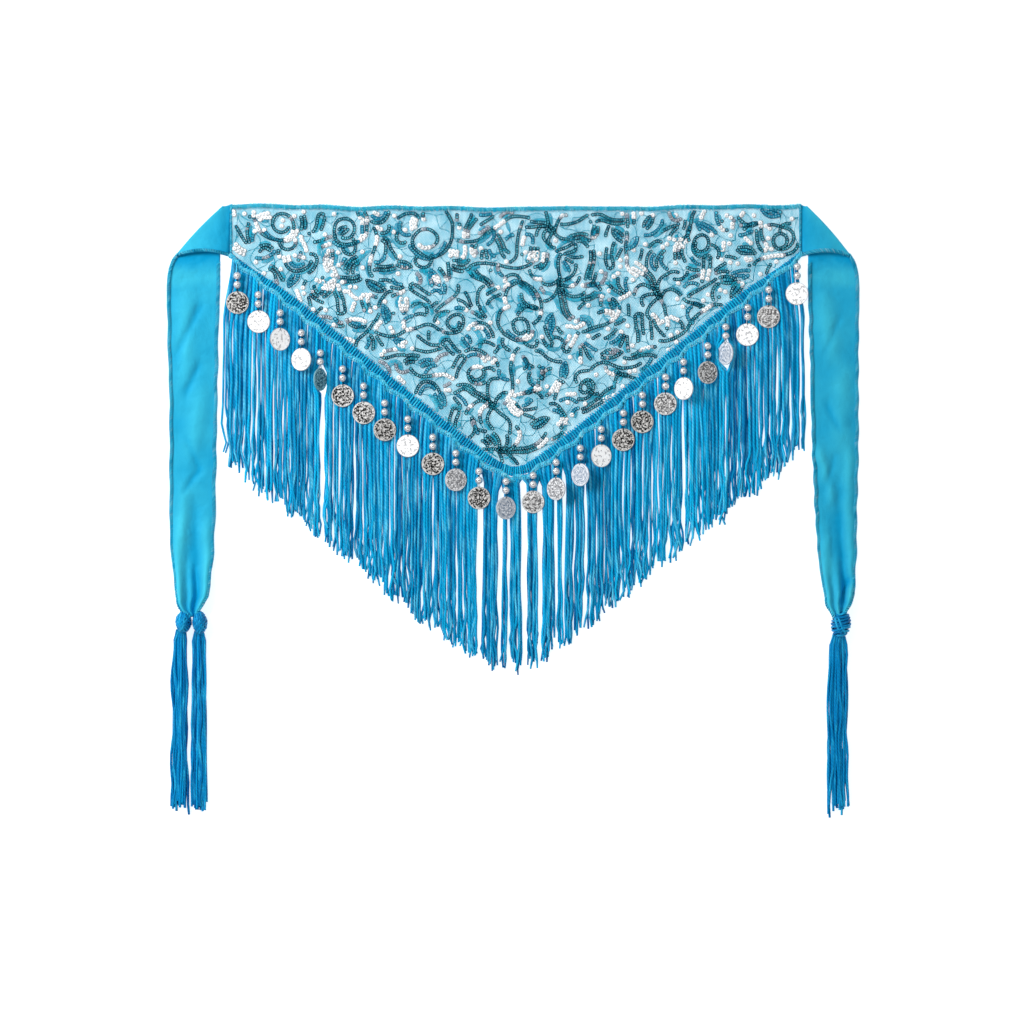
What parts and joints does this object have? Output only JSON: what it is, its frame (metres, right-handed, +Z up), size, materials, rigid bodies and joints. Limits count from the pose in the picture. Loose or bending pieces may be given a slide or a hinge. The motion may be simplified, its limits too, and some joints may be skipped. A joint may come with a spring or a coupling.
{
  "type": "fringed waist chain",
  "caption": "Pointed net waist panel laid flat, with folded ties, stepped cord fringe, knotted tassels, beads and thin coins.",
  "frame": {"origin": "on the surface it lies on, below the middle of the whole piece", "axes": "+X along the waist to the viewer's right, +Y from the fringe up to the waist edge, +Z up from the surface"},
  "size_m": [0.6088, 0.542, 0.0186],
  "materials": {
    "net": "fine pale teal net",
    "satin": "soft cyan satin",
    "cord": "glossy twisted rayon cord",
    "silver": "polished silver beads",
    "antique_silver": "stamped thin metal, partly darkened"
  },
  "bodies": {
    "root": {"panel": "net", "tie_left": "satin", "tie_right": "satin", "fringe_left": "cord", "fringe_right": "cord", "tassel_left_outer": "cord", "tassel_left_inner": "cord", "tassel_right": "cord", "coin_01": "antique_silver", "bead_string_01": "silver", "coin_02": "antique_silver", "bead_string_02": "silver", "coin_03": "antique_silver", "bead_string_03": "silver", "coin_04": "antique_silver", "bead_string_04": "silver", "coin_05": "antique_silver", "bead_string_05": "silver", "coin_06": "antique_silver", "bead_string_06": "silver", "coin_07": "antique_silver", "bead_string_07": "silver", "coin_08": "antique_silver", "bead_string_08": "silver", "coin_09": "antique_silver", "bead_string_09": "silver", "coin_10": "antique_silver", "bead_string_10": "silver", "coin_11": "antique_silver", "bead_string_11": "silver", "coin_12": "antique_silver", "bead_string_12": "silver", "coin_13": "antique_silver", "bead_string_13": "silver", "coin_14": "antique_silver", "bead_string_14": "silver", "coin_15": "antique_silver", "bead_string_15": "silver", "coin_16": "antique_silver", "bead_string_16": "silver", "coin_17": "antique_silver", "bead_string_17": "silver", "coin_18": "antique_silver", "bead_string_18": "silver", "coin_19": "antique_silver", "bead_string_19": "silver", "coin_20": "antique_silver", "bead_string_20": "silver", "coin_21": "antique_silver", "bead_string_21": "silver", "coin_22": "antique_silver", "bead_string_22": "silver", "coin_23": "antique_silver", "bead_string_23": "silver", "coin_24": "antique_silver", "bead_string_24": "silver", "coin_25": "antique_silver", "bead_string_25": "silver", "coin_26": "antique_silver", "bead_string_26": "silver"}
  },
  "joints": []
}
